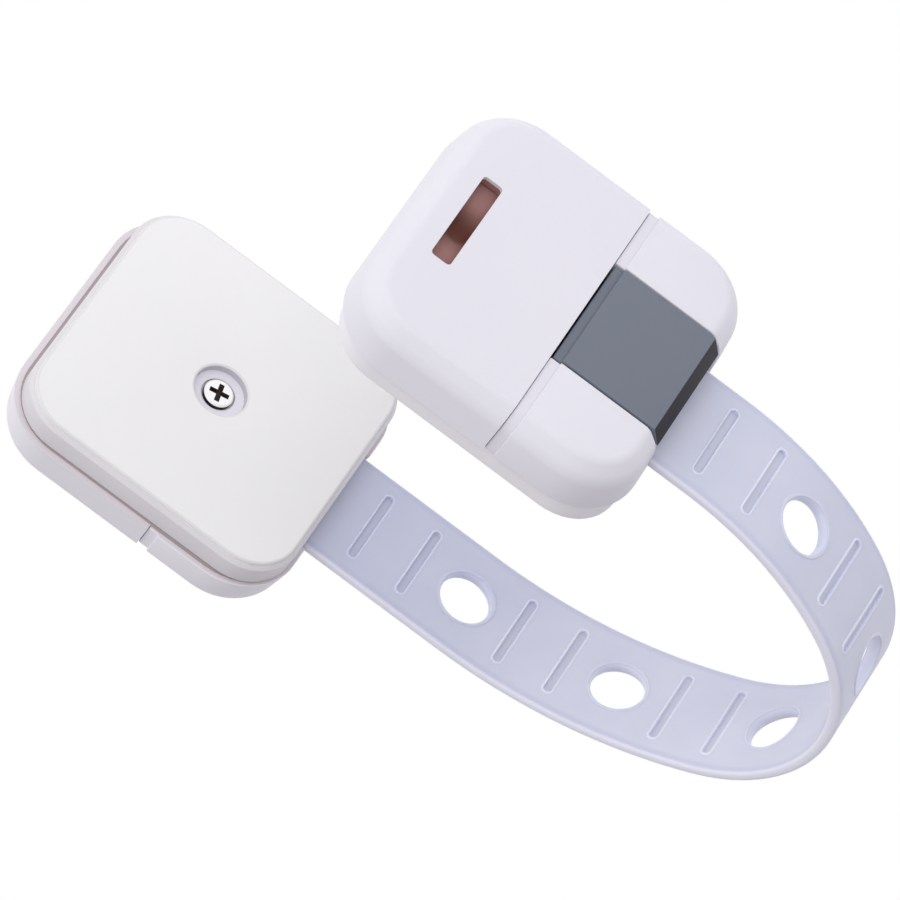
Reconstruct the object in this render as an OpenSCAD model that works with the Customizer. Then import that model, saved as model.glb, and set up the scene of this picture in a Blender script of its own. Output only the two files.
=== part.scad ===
// Cabinet safety lock: two identical stick-on lock blocks joined by one flexible strap.
// The part lies on its side, so +Z is across the strap, +X points from the blocks to the strap's bend
// and the two blocks face away from each other along Y. The origin is the middle of the underside.
// Each block is drawn in its own frame first: x towards the strap mouth, y across, z from back to front.

/* [Block] */
// Side of the square block at its rim
block_size = 46.2; // [43.2:0.5:51.2]
// Corner radius of the block in plan
corner_radius = 10; // [8.5:0.5:11.5]
// Thickness of the block from its adhesive face to its front
block_height = 12.4; // [12:0.1:13.4]
// Width of the bevel round the front face
front_chamfer = 2.3; // [1.8:0.1:2.5]
// How far the side leans in between the rim and the bevel
side_inset = 0.7; // [0.4:0.1:1]
// Radius that softens the two edges of the bevel
edge_fillet = 1; // [0.6:0.1:1.3]
// Wall of the shells
wall = 1.8; // [1.5:0.1:2.1]
// Thickness of the shells' front
roof = 1.5; // [1.2:0.1:1.8]

/* [Back] */
// Thickness of the adhesive pad
pad_thickness = 0.6; // [0.4:0.1:0.7]
// How far the pad's edge stands in from the block's rim
pad_inset = 1.6; // [1.4:0.1:2.2]
// Thickness of the base plate under the tray
plate_thickness = 2.1; // [2:0.1:2.4]
// Height of the base plate's side
plate_height = 3.6; // [3.2:0.1:3.7]
// How far the base plate's side stands in from the block's rim
plate_inset = 1; // [0.8:0.05:1.1]
// How far the pad and the base plate's side are shifted towards the strap mouth
base_shift = 0.3; // [0:0.05:0.4]
// Corner radius of the base plate in plan
plate_corner = 8; // [7.5:0.1:9]
// Height of the shadow gap between the base plate and the rim
shadow_gap = 0.5; // [0.4:0.1:0.7]
// Width of the ledge of the base plate that carries the shells
seat_ledge = 0.5; // [0.4:0.05:0.6]

/* [Screw] */
// Distance of the screw from the middle of the block, towards the strap mouth
screw_shift = 0.8; // [0:0.1:1]
// Diameter of the round recess in the back
recess_d = 8.4; // [7.6:0.1:9.4]
// Diameter of the screw head
head_d = 5.2; // [4.6:0.1:5.8]
// Height of the screw head
head_height = 0.95; // [0.7:0.05:1]
// How deep the screw head lies below the adhesive face
head_depth = 0.75; // [0.6:0.05:0.8]
// Diameter of the screw's shank
screw_d = 3; // [2.6:0.1:3.4]
// Width across the square nut
nut_width = 5.5; // [5:0.1:6]
// Thickness of the square nut
nut_thickness = 1.1; // [0.9:0.1:1.2]

/* [Parting] */
// Length of the strap end of the block, from the parting line to the mouth
strap_end_length = 19.2; // [18.4:0.1:20]
// Width of the lowered strip beside the parting line
strip_width = 1.6; // [1.2:0.05:2.2]
// Depth of the lowered strip
strip_depth = 0.55; // [0.3:0.05:0.8]

/* [Front slot] */
// Length of the slot across the cover
slot_length = 16; // [13:0.1:17]
// Width of the slot
slot_width = 3.1; // [2.4:0.1:3.4]
// Distance from the block's plain end to the slot
slot_setback = 6.2; // [5.8:0.1:6.8]
// Corner radius of the slot
slot_corner = 0.6; // [0.3:0.1:1]

/* [Button] */
// Width of the release button
button_width = 18.8; // [18:0.1:19.6]
// Thickness of the button's pad
button_thickness = 2.5; // [2.2:0.1:2.7]
// Distance from the block's strap end to the pad's upper end edge
button_setback = 2.55; // [2:0.05:3]
// How far the pad's end leans out towards its lower edge
button_lean = 1.8; // [1.2:0.05:1.9]
// Gap between the button and the parts beside it
button_gap = 0.3; // [0.25:0.01:0.4]
// Diameter of the pivot pin
pin_d = 1.8; // [1.5:0.1:1.9]
// Distance of the pivot pin from the parting line
pin_setback = 3; // [2.8:0.1:3.4]
// Width of the arm that carries the peg
arm_width = 8.4; // [7.6:0.1:9]
// Thickness of the arm at its end
arm_thickness = 1; // [0.8:0.1:1.1]
// Diameter of the peg
peg_d = 6.4; // [6:0.1:6.5]
// Distance of the peg from the strap mouth
peg_setback = 27.4; // [26.8:0.1:28]

/* [Return spring] */
// Outer diameter of the spring
spring_d = 3.6; // [3.3:0.1:3.9]
// Diameter of the spring wire
spring_wire = 0.4; // [0.35:0.05:0.45]
// Turns of the spring
spring_turns = 3; // [2:1:3]
// Distance of the spring from the parting line
spring_setback = 2.6; // [2.4:0.1:3]

/* [Strap] */
// Width of the strap
strap_width = 18.3; // [17.4:0.1:18.8]
// Thickness of the strap
strap_thickness = 1.7; // [1.5:0.1:1.8]
// Bevel along the strap's edges
strap_bevel = 0.35; // [0.2:0.05:0.5]
// Diameter of the strap holes
hole_d = 7.2; // [7.1:0.1:8]
// Width of the raised rim round a hole
rim_width = 0.8; // [0.5:0.1:1]
// Height of the raised rim over the strap's face
rim_height = 0.15; // [0.1:0.01:0.18]
// Length of a flex groove
groove_length = 12.4; // [11:0.1:14]
// Width of a flex groove
groove_width = 2; // [1.6:0.1:2.4]
// Depth of a flex groove in each face
groove_depth = 0.3; // [0.2:0.05:0.4]
// Distance from the strap's end to the block's plain end
tail_setback = 4.8; // [4.2:0.1:5.6]

/* [Loop] */
// Straight length of the strap at the lower block
lower_straight = 22.8; // [18:0.2:26]
// Radius of the lower run's curve
lower_radius = 65; // [60:1:72]
// Angle of the lower run's curve
lower_turn = 35; // [30:1:40]
// Radius of the main bend
bend_radius = 24.55; // [22:0.05:27]
// Angle of the main bend
bend_turn = 109; // [104:1:114]
// Radius of the upper run's curve
upper_radius = 45; // [40:1:50]
// Straight length of the strap at the upper block
upper_straight = 6; // [4:0.1:10]

/* [Hidden] */
$fn = 64;
// Overrun of every cut
over = 1;
// Play of pieces that slide or turn on one another, on the radius
fit = 0.03;
// Play of loose pieces and of the strap in its channel
play = 0.1;
// Strap holes between the two pegs, counted as spans
hole_spans = 8;
// Grooves and holes in one span
span_steps = 3;
// Steps of an edge fillet
fillet_steps = 4;
// Rings in one turn of the spring, and sides of its wire
rings_per_turn = 12;
wire_sides = 6;

// Block: heights from the back, and places along x
half = block_size / 2;
centre = half - corner_radius;
plate_centre = half - plate_inset - plate_corner;
seat_z = pad_thickness + plate_thickness;
plate_z = pad_thickness + plate_height;
rim_z = plate_z + shadow_gap;
tray_thickness = 1.75;
tray_r = corner_radius - wall - play;
floor_z = seat_z + tray_thickness;
strap_low = floor_z + play + rim_height;
strap_mid = strap_low + strap_thickness / 2;
strap_top = strap_low + strap_thickness;
crease_z = block_height - front_chamfer;
ceiling_z = block_height - roof;
crease_r = corner_radius - side_inset;
top_r = crease_r - front_chamfer;
bevel_angle = 45;
seam_x = half - strap_end_length;
tail_length = block_size - tail_setback;

// Tray, rails and shoulder floors in the housing
shoulder_floor = 1;
shoulder_wall = 1.3;
rail_width = 1.2;
rail_height = 2.3;
guide_width = 1.2;
boss_d = 5.4;
boss_height = 2.9;
post_d = 3;
post_x_share = 0.6;
post_y_share = 0.645;

// Button: heights and places
strip_x = seam_x + strip_width;
pin_x = seam_x + pin_setback;
hub_clearance = 0.4;
hub_low = strap_top + rim_height + hub_clearance;
pin_cover = 0.7;
pin_z = hub_low + pin_cover + pin_d / 2;
hub_x = seam_x + button_gap;
hub_length = 5.6;
hub_relief = 0.9;
pad_low = block_height - button_thickness;
strip_z = block_height - strip_depth;
pad_end_x = half - button_setback;
peg_x = half - peg_setback;
peg_lift = 0.5;
peg_low = strap_low + peg_lift;
peg_bevel = 0.5;
arm_rise = 1.6;
arm_root_z = hub_low + arm_rise;
neck_share = 0.8;
channel_width = button_width + 2 * button_gap;

// Spring: seats and helix
spring_x = seam_x - spring_setback;
spring_pocket = 0.75;
spring_low = arm_root_z - spring_pocket + fit;
spring_high = ceiling_z - fit;
spring_radius = (spring_d - spring_wire) / 2;
spring_rise = spring_high - spring_low - spring_wire;
spigot_d = spring_d - 2 * spring_wire - 4 * play;
spigot_height = 1.1;
nub_height = 0.7;

// Screw and nut
head_z = head_depth + head_height;
nut_z = floor_z - nut_thickness - play;
cross_length = 3;
cross_width = 0.75;
cross_depth = 0.55;

// Strap route: a straight, three arcs that together turn half way round, and a straight
upper_turn = 180 - lower_turn - bend_turn;
function arc_length(radius, turn) = radius * turn * PI / 180;
s_lower = lower_straight + arc_length(lower_radius, lower_turn);
s_bend = s_lower + arc_length(bend_radius, bend_turn);
s_upper = s_bend + arc_length(upper_radius, upper_turn);
s_end = s_upper + upper_straight;
pitch = (s_end + 2 * peg_setback) / (hole_spans * span_steps);

// The strap is plain where it leaves a block, so a hole that would lie across a mouth is left out
function at_mouth(s) = min(abs(s), abs(s - s_end)) < hole_d;

// Point reached by turning left from a start point and heading
function arc_end(point, heading, radius, turn) =
    point + radius * [sin(heading + turn) - sin(heading), cos(heading) - cos(heading + turn)];
function arc_angle(length, radius) = length / radius * 180 / PI;
p_lower = [lower_straight, 0];
p_bend = arc_end(p_lower, 0, lower_radius, lower_turn);
p_upper = arc_end(p_bend, lower_turn, bend_radius, bend_turn);
p_straight = arc_end(p_upper, lower_turn + bend_turn, upper_radius, upper_turn);
p_end = p_straight - [upper_straight, 0];

// Heading and point of the strap's middle line at a length s from the lower block's mouth
function heading(s) =
    s < lower_straight ? 0 :
    s < s_lower ? arc_angle(s - lower_straight, lower_radius) :
    s < s_bend ? lower_turn + arc_angle(s - s_lower, bend_radius) :
    s < s_upper ? lower_turn + bend_turn + arc_angle(s - s_bend, upper_radius) : 180;
function place(s) =
    s < lower_straight ? [s, 0] :
    s < s_lower ? arc_end(p_lower, 0, lower_radius, heading(s)) :
    s < s_bend ? arc_end(p_bend, lower_turn, bend_radius, heading(s) - lower_turn) :
    s < s_upper ? arc_end(p_upper, lower_turn + bend_turn, upper_radius, heading(s) - lower_turn - bend_turn) :
    p_straight - [s - s_upper, 0];

// Box of the whole part, for its origin
apex = p_bend + bend_radius * [1 - sin(lower_turn), cos(lower_turn)];
x_low = -block_size;
x_high = apex[0] + strap_thickness / 2;
origin = [(x_low + x_high) / 2, p_end[1] / 2, -half];

shell_white = [0.94, 0.94, 0.96];
plate_white = [0.90, 0.90, 0.94];
pad_white = [0.96, 0.96, 0.97];
button_grey = [0.46, 0.48, 0.53];
strap_lilac = [0.78, 0.79, 0.88];
steel = [0.75, 0.76, 0.78];

// Points that round the corner at b of an outline a, b, c
function rounded(a, b, c, radius) =
    let (
        u = (a - b) / norm(a - b),
        v = (c - b) / norm(c - b),
        half_angle = acos(u * v) / 2,
        middle = b + (u + v) / norm(u + v) * radius / sin(half_angle),
        from = b + u * radius / tan(half_angle) - middle,
        sweep = 180 - 2 * half_angle,
        side = sign(from[0] * (u + v)[1] - from[1] * (u + v)[0])
    )
    [for (i = [0 : fillet_steps])
        let (t = -side * sweep * i / fillet_steps)
        middle + [from[0] * cos(t) - from[1] * sin(t), from[0] * sin(t) + from[1] * cos(t)]];

// Side outline of the shells as [distance from the corner's axis, height], drawn in by inset
function shell_outline(inset) =
    let (
        rim = [corner_radius - inset, rim_z],
        crease = [crease_r - inset, crease_z - inset * tan(bevel_angle / 2)],
        edge = [top_r - inset * tan(bevel_angle / 2), block_height - inset],
        middle = [-centre, block_height - inset]
    )
    concat([rim], rounded(rim, crease, edge, edge_fillet), rounded(crease, edge, middle, edge_fillet));

// Radius of the shells' outside at a height, and their inside outline from a floor up to the ceiling
function skin_r(z) = corner_radius - side_inset * (z - rim_z) / (crease_z - rim_z);
inner_sum = crease_r + crease_z - wall * sqrt(2);
function cavity_r(z) = skin_r(z) - wall;
function cavity_outline(z) = [
    [cavity_r(z), z],
    [crease_r - wall, inner_sum - crease_r + wall],
    [inner_sum - ceiling_z, ceiling_z]
];

// The end of a rounded-square block beyond x = cut_x, with the given side outline and corner axes at c
module end_form(outline, cut_x, c = centre) {
    last = len(outline) - 1;
    ring = concat([[0, outline[0][1]]], outline, [[0, outline[last][1]]]);
    section = concat(
        [for (p = outline) [c + p[0], p[1]]],
        [for (i = [last : -1 : 0]) [-c - outline[i][0], outline[i][1]]]
    );
    for (side = [0, 1])
        mirror([0, side, 0])
            translate([c, c, 0])
                rotate_extrude(angle = 90)
                    polygon(ring);
    translate([c, c, 0])
        rotate([90, 0, 0])
            linear_extrude(2 * c)
                polygon(ring);
    translate([cut_x, 0, 0])
        rotate([90, 0, 90])
            linear_extrude(c - cut_x)
                polygon(section);
}

// A whole rounded-square block
module full_form(outline, c = centre) {
    for (side = [0, 1])
        mirror([side, 0, 0])
            end_form(outline, 0, c);
}

// A slot or groove outline with round ends, lengthways along the second axis
module obround(width, length) {
    square([width, length - width], center = true);
    for (side = [-1, 1])
        translate([0, side * (length - width) / 2])
            circle(d = width);
}

// The cover's slot, with small corners
module slot_plan() {
    square([slot_width - 2 * slot_corner, slot_length], center = true);
    square([slot_width, slot_length - 2 * slot_corner], center = true);
    for (x = [-1, 1], y = [-1, 1])
        translate([x * (slot_width / 2 - slot_corner), y * (slot_length / 2 - slot_corner)])
            circle(r = slot_corner);
}

module adhesive_pad() {
    pad_r = plate_corner + plate_inset - pad_inset;
    color(pad_white)
        difference() {
            translate([base_shift, 0, 0])
                full_form([[pad_r, 0], [pad_r, pad_thickness]], plate_centre);
            translate([screw_shift, 0, -over])
                cylinder(d = recess_d, h = pad_thickness + 2 * over);
        }
}

// Shallow dish for the tray: deep side, ledge that carries the shells, strap mouth and the screw's recess
module base_plate() {
    ledge_r = corner_radius - wall + seat_ledge;
    plate_slope = plate_height / 8;
    color(plate_white)
        difference() {
            union() {
                translate([base_shift, 0, 0])
                    full_form([
                        [plate_corner - plate_slope, pad_thickness],
                        [plate_corner, pad_thickness + plate_slope],
                        [plate_corner, plate_z]
                    ], plate_centre);
                full_form([[ledge_r, seat_z], [ledge_r, rim_z]]);
            }
            full_form([[tray_r + play, seat_z], [tray_r + play, rim_z + over]]);
            translate([centre, -channel_width / 2, floor_z])
                cube([block_size, channel_width, block_height]);
            translate([screw_shift, 0, head_z - recess_d])
                cylinder(d = recess_d, h = recess_d);
            translate([screw_shift, 0, 0])
                cylinder(d = screw_d + 2 * play, h = seat_z + over);
        }
}

// Pan-head screw with a cross recess, driven from the back
module base_screw() {
    crown = head_height / 4;
    color(steel)
        difference() {
            union() {
                translate([screw_shift, 0, head_depth])
                    cylinder(d1 = head_d - 2 * crown, d2 = head_d, h = crown);
                translate([screw_shift, 0, head_depth + crown])
                    cylinder(d = head_d, h = head_height - crown);
                translate([screw_shift, 0, head_depth + crown])
                    cylinder(d = screw_d, h = nut_z + nut_thickness - head_depth - crown);
            }
            for (turn = [45, 135])
                translate([screw_shift, 0, head_depth])
                    rotate([0, 0, turn])
                        cube([cross_length, cross_width, 2 * cross_depth], center = true);
        }
}

module clamp_nut() {
    color(steel)
        difference() {
            translate([screw_shift - nut_width / 2, -nut_width / 2, nut_z])
                cube([nut_width, nut_width, nut_thickness]);
            translate([screw_shift, 0, nut_z - over])
                cylinder(d = screw_d + 2 * fit, h = nut_thickness + 2 * over);
        }
}

// Strap end of the block: two hollow shoulders, the strap's tray and its rails, and the pin's snap seats
module strap_housing() {
    inner_r = tray_r - shoulder_wall;
    ledge_z = rim_z + shoulder_floor;
    rail_y = strap_width / 2 + 2 * play;
    rail_end = half - tail_length - play;
    post_x = -half * post_x_share;
    post_y = half * post_y_share;
    color(shell_white)
        difference() {
            union() {
                difference() {
                    union() {
                        end_form(shell_outline(0), strip_x);
                        end_form(shell_outline(strip_depth), seam_x);
                        end_form([[tray_r, seat_z], [tray_r, ledge_z]], seam_x);
                    }
                    end_form([[inner_r, floor_z], [inner_r, ledge_z + over]], seam_x - over);
                    end_form(cavity_outline(ledge_z), seam_x - over);
                    translate([seam_x - over, -channel_width / 2, floor_z])
                        cube([block_size, channel_width, block_height]);
                }
                mirror([1, 0, 0])
                    end_form([[tray_r, seat_z], [tray_r, floor_z]], -seam_x);
                for (side = [0, 1])
                    mirror([0, side, 0]) {
                        translate([seam_x, channel_width / 2, seat_z])
                            cube([half - wall - play - seam_x, guide_width, ceiling_z - seat_z + play]);
                        translate([rail_end, rail_y, seat_z])
                            cube([seam_x - rail_end, rail_width, floor_z - seat_z + rail_height]);
                        translate([post_x, post_y, seat_z])
                            cylinder(d = boss_d, h = floor_z - seat_z + boss_height);
                    }
            }
            for (side = [0, 1])
                mirror([0, side, 0])
                    translate([post_x, post_y, floor_z])
                        cylinder(d = post_d + 2 * fit, h = boss_height + over);
            translate([pin_x, 0, pin_z])
                rotate([90, 0, 0])
                    cylinder(d = pin_d + 2 * fit, h = channel_width + 2 * guide_width + over, center = true);
            translate([seam_x - over, -channel_width / 2 - guide_width - over / 2, pin_z - pin_d * neck_share / 2])
                cube([pin_setback + over, channel_width + 2 * guide_width + over, pin_d * neck_share]);
            translate([screw_shift - nut_width / 2 - play, -nut_width / 2 - play, nut_z])
                cube([nut_width + 2 * play, nut_width + 2 * play, block_height]);
            translate([screw_shift, 0, 0])
                cylinder(d = screw_d + 2 * play, h = block_height);
        }
}

// Plain end of the block: a shell with the slot, two posts for the tray's bosses and the spring's spigot
module front_cover() {
    slot_x = slot_setback + slot_width / 2 - half;
    post_z = floor_z + play;
    color(shell_white)
        union() {
            difference() {
                mirror([1, 0, 0])
                    end_form(shell_outline(0), -seam_x);
                mirror([1, 0, 0])
                    end_form(cavity_outline(rim_z - over), -seam_x - over);
                translate([slot_x, 0, rim_z])
                    linear_extrude(block_height)
                        slot_plan();
            }
            for (side = [-1, 1])
                translate([-half * post_x_share, side * half * post_y_share, post_z])
                    cylinder(d = post_d, h = ceiling_z - post_z + roof / 2);
            translate([spring_x, 0, ceiling_z - spigot_height])
                cylinder(d = spigot_d, h = spigot_height + roof / 2);
        }
}

// Rocking button: pad with its lowered strip, hub on the pin, and the arm with the peg
module release_button() {
    side_outline = [
        [hub_x, hub_low],
        [pin_x, hub_low],
        [hub_x + hub_length, hub_low + hub_relief],
        [hub_x + hub_length, pad_low],
        [pad_end_x + button_lean, pad_low],
        [pad_end_x, block_height],
        [strip_x, block_height],
        [strip_x, strip_z],
        [hub_x, strip_z]
    ];
    arm_outline = [
        [peg_x, hub_low],
        [hub_x, hub_low],
        [hub_x, arm_root_z],
        [spring_x - spring_d / 2 - 3 * play, arm_root_z],
        [peg_x, hub_low + arm_thickness]
    ];
    color(button_grey)
        difference() {
            union() {
                rotate([90, 0, 0])
                    linear_extrude(button_width, center = true)
                        polygon(side_outline);
                rotate([90, 0, 0])
                    linear_extrude(arm_width, center = true)
                        polygon(arm_outline);
                translate([peg_x, 0, hub_low])
                    cylinder(d = arm_width, h = arm_thickness);
                translate([peg_x, 0, peg_low])
                    cylinder(d1 = peg_d - 2 * peg_bevel, d2 = peg_d, h = peg_bevel);
                translate([peg_x, 0, peg_low + peg_bevel])
                    cylinder(d = peg_d, h = hub_low - peg_low - peg_bevel);
            }
            translate([pin_x, 0, pin_z])
                rotate([90, 0, 0])
                    cylinder(d = pin_d + 2 * fit, h = button_width + over, center = true);
            difference() {
                translate([spring_x, 0, arm_root_z - spring_pocket])
                    cylinder(d = spring_d + 4 * play, h = spring_pocket + over);
                translate([spring_x, 0, arm_root_z - spring_pocket])
                    cylinder(d = spigot_d, h = nub_height);
            }
        }
}

module pivot_pin() {
    color(steel)
        translate([pin_x, 0, pin_z])
            rotate([90, 0, 0])
                cylinder(d = pin_d, h = channel_width + 2 * guide_width, center = true);
}

// Spring wire: points of its middle line, each ring's points, and the faces of one closed tube
function spring_point(turn) = [
    spring_x + spring_radius * cos(turn * 360),
    spring_radius * sin(turn * 360),
    spring_low + spring_wire / 2 + spring_rise * turn / spring_turns
];
spring_rings = spring_turns * rings_per_turn;
spring_points = [for (i = [0 : spring_rings]) spring_point(i / rings_per_turn)];
spring_gap = min([
    for (i = [0 : spring_rings], j = [i + 1 : spring_rings])
        if (j - i >= rings_per_turn / 2) norm(spring_points[i] - spring_points[j]) - spring_wire
]);
echo(str("least gap of the spring to itself: ", spring_gap, " mm"));

module return_spring() {
    rings = [
        for (i = [0 : spring_rings], k = [0 : wire_sides - 1])
            let (
                around = k * 360 / wire_sides,
                out = [cos(i * 360 / rings_per_turn), sin(i * 360 / rings_per_turn), 0]
            )
            spring_points[i] + spring_wire / 2 * (out * cos(around) + [0, 0, sin(around)])
    ];
    last = spring_rings * wire_sides;
    side_faces = [
        for (i = [0 : spring_rings - 1], k = [0 : wire_sides - 1])
            let (
                a = i * wire_sides + k,
                b = i * wire_sides + (k + 1) % wire_sides
            )
            each [[a, b, b + wire_sides], [a, b + wire_sides, a + wire_sides]]
    ];
    end_faces = [
        for (k = [1 : wire_sides - 2])
            each [[0, k + 1, k], [last, last + k, last + k + 1]]
    ];
    color(steel)
        polyhedron(points = rings, faces = concat(side_faces, end_faces));
}

// Cross-section of the strap as [outward, across]
module strap_section() {
    t = strap_thickness / 2;
    w = strap_width / 2;
    polygon([
        [-t, -w + strap_bevel], [-t + strap_bevel, -w], [t - strap_bevel, -w], [t, -w + strap_bevel],
        [t, w - strap_bevel], [t - strap_bevel, w], [-t + strap_bevel, w], [-t, w - strap_bevel]
    ]);
}

module strap_straight(point, length) {
    translate([point[0], point[1], 0])
        rotate([90, 0, 90])
            linear_extrude(length)
                strap_section();
}

module strap_arc(point, start_heading, radius, turn) {
    turn_centre = point + radius * [-sin(start_heading), cos(start_heading)];
    translate([turn_centre[0], turn_centre[1], 0])
        rotate([0, 0, start_heading - 90])
            rotate_extrude(angle = turn)
                translate([radius, 0])
                    strap_section();
}

// Moves to the strap's middle line at length s: x along the strap, y through it, z across
module along_strap(s) {
    translate([place(s)[0], place(s)[1], 0])
        rotate([0, 0, heading(s)])
            children();
}

// Raised rims, holes and flex grooves on the stretch from s_from to s_to
module strap_features(s_from, s_to) {
    steps = hole_spans * span_steps;
    difference() {
        union() {
            children();
            for (i = [0 : span_steps : steps]) {
                s = i * pitch - peg_setback;
                if (s > s_from && s < s_to && !at_mouth(s))
                    along_strap(s)
                        rotate([90, 0, 0])
                            cylinder(d = hole_d + 2 * rim_width, h = strap_thickness + 2 * rim_height, center = true);
            }
        }
        for (i = [-1 : steps + 1]) {
            s = i * pitch - peg_setback;
            if (s > s_from - groove_width && s < s_to + groove_width)
                along_strap(s)
                    if (i % span_steps != 0)
                        for (side = [0, 1])
                            mirror([0, side, 0])
                                translate([0, strap_thickness / 2 + over, 0])
                                    rotate([90, 0, 0])
                                        linear_extrude(groove_depth + over)
                                            obround(groove_width, groove_length);
                    else if (!at_mouth(s))
                        rotate([90, 0, 0])
                            cylinder(d = hole_d, h = strap_thickness + over, center = true);
        }
    }
}

module strap_lower_run() {
    color(strap_lilac)
        strap_features(-tail_length, s_lower) {
            strap_straight([-tail_length, 0], tail_length + lower_straight);
            strap_arc(p_lower, 0, lower_radius, lower_turn);
        }
}

module strap_bend() {
    color(strap_lilac)
        strap_features(s_lower, s_bend)
            strap_arc(p_bend, lower_turn, bend_radius, bend_turn);
}

module strap_upper_run() {
    color(strap_lilac)
        strap_features(s_bend, s_end + tail_length) {
            strap_arc(p_upper, lower_turn + bend_turn, upper_radius, upper_turn);
            strap_straight(p_end - [tail_length, 0], tail_length + upper_straight);
        }
}

// Places of the two blocks and of the strap in the part's frame
module in_part() {
    translate(-origin)
        children();
}

module lower_lock() {
    in_part()
        translate([-half, strap_mid, 0])
            rotate([90, 0, 0])
                children();
}

module upper_lock() {
    in_part()
        translate([p_end[0] - half, p_end[1] - strap_mid, 0])
            rotate([-90, 0, 0])
                children();
}

lower_lock() adhesive_pad();  // lower_adhesive_pad
lower_lock() base_plate();  // lower_base_plate
lower_lock() base_screw();  // lower_base_screw
lower_lock() clamp_nut();  // lower_clamp_nut
lower_lock() strap_housing();  // lower_strap_housing
lower_lock() front_cover();  // lower_front_cover
lower_lock() release_button();  // lower_release_button
lower_lock() pivot_pin();  // lower_pivot_pin
lower_lock() return_spring();  // lower_return_spring
upper_lock() adhesive_pad();  // upper_adhesive_pad
upper_lock() base_plate();  // upper_base_plate
upper_lock() base_screw();  // upper_base_screw
upper_lock() clamp_nut();  // upper_clamp_nut
upper_lock() strap_housing();  // upper_strap_housing
upper_lock() front_cover();  // upper_front_cover
upper_lock() release_button();  // upper_release_button
upper_lock() pivot_pin();  // upper_pivot_pin
upper_lock() return_spring();  // upper_return_spring
in_part() strap_lower_run();
in_part() strap_bend();
in_part() strap_upper_run();
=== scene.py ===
import bmesh
import bpy
from math import cos, pi, radians, sin
from mathutils import Matrix, Vector


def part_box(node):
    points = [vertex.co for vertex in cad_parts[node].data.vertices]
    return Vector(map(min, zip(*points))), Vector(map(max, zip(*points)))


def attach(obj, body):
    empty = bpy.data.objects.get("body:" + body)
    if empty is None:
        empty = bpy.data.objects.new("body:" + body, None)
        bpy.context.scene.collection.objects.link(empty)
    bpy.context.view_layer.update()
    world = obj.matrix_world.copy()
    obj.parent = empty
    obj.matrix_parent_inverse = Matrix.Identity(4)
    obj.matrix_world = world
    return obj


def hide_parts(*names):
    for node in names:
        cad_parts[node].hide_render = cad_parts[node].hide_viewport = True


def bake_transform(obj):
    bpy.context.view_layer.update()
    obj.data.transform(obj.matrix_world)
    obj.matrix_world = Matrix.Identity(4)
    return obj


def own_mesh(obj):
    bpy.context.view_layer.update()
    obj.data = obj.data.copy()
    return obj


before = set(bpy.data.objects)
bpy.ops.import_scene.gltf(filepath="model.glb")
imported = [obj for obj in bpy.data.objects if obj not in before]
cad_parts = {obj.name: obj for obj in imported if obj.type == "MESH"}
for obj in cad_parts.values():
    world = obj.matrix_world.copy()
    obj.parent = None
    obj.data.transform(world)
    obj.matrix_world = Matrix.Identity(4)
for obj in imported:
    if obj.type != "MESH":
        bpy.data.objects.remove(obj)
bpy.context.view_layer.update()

# Camera, floor and studio light: a long lens looks down on the lock, which lies on its side on white
# seamless paper. A broad soft key comes from the blocks' plain ends, a second softbox hangs overhead,
# and the room's own light fades to a dim pink on the strap's side.
lens_mm = 318.2
sensor_mm = 36
camera_place = (-0.053683, 0.848604, 0.6860)
image_right = Vector((0.80164, 0.39438, -0.44927))
image_up = Vector((-0.59614, 0.47123, -0.65005))
image_back = Vector((-0.04466, 0.78893, 0.61286))
room_lean = (-0.40, 0.27, -0.05)
room_power = 0.715
dim_pink = (1.0, 0.92, 0.98, 1)
white = (1, 1, 1, 1)
aim = Vector((0, 0, 0.02))
floor_half = 4
floor_drop = 0.0004
paper_white = (0.85, 0.85, 0.86, 1)
scene = bpy.context.scene
scene.view_settings.view_transform = "Standard"
camera_data = bpy.data.cameras.new("camera")
camera_data.lens = lens_mm
camera_data.sensor_width = sensor_mm
camera = bpy.data.objects.new("camera", camera_data)
camera.matrix_world = Matrix((image_right, image_up, image_back)).transposed().to_4x4()
camera.matrix_world.translation = camera_place
scene.collection.objects.link(camera)
scene.camera = camera

world = bpy.data.worlds.new("studio")
scene.world = world
world.use_nodes = True
nodes = world.node_tree.nodes
links = world.node_tree.links
where = nodes.new("ShaderNodeTexCoord")
lean = nodes.new("ShaderNodeVectorMath")
lean.operation = "DOT_PRODUCT"
lean.inputs[1].default_value = room_lean
links.new(where.outputs["Generated"], lean.inputs[0])
power = nodes.new("ShaderNodeMath")
power.inputs[1].default_value = room_power
links.new(lean.outputs["Value"], power.inputs[0])
tint = nodes.new("ShaderNodeMix")
tint.data_type = "RGBA"
tint.inputs["A"].default_value = dim_pink
tint.inputs["B"].default_value = white
links.new(power.outputs["Value"], tint.inputs["Factor"])
soft_light = nodes["Background"]
links.new(tint.outputs["Result"], soft_light.inputs["Color"])
links.new(power.outputs["Value"], soft_light.inputs["Strength"])
backdrop = nodes.new("ShaderNodeBackground")
backdrop.inputs["Color"].default_value = white
seen = nodes.new("ShaderNodeLightPath")
choice = nodes.new("ShaderNodeMixShader")
links.new(seen.outputs["Is Camera Ray"], choice.inputs["Fac"])
links.new(soft_light.outputs["Background"], choice.inputs[1])
links.new(backdrop.outputs["Background"], choice.inputs[2])
links.new(choice.outputs["Shader"], nodes["World Output"].inputs["Surface"])


def softbox(name, place, size, power):
    """A round soft light that points at the lock."""
    data = bpy.data.lights.new(name, "AREA")
    data.shape = "DISK"
    data.size = size
    data.energy = power
    lamp = bpy.data.objects.new(name, data)
    lamp.location = place
    lamp.rotation_euler = (aim - Vector(place)).to_track_quat("-Z", "Y").to_euler()
    scene.collection.objects.link(lamp)


softbox("key", place=(-0.45, 1.05, 0.25), size=1.3, power=2.75)
softbox("top", place=(-0.20, 0.05, 1.1), size=0.8, power=1.0)

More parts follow.
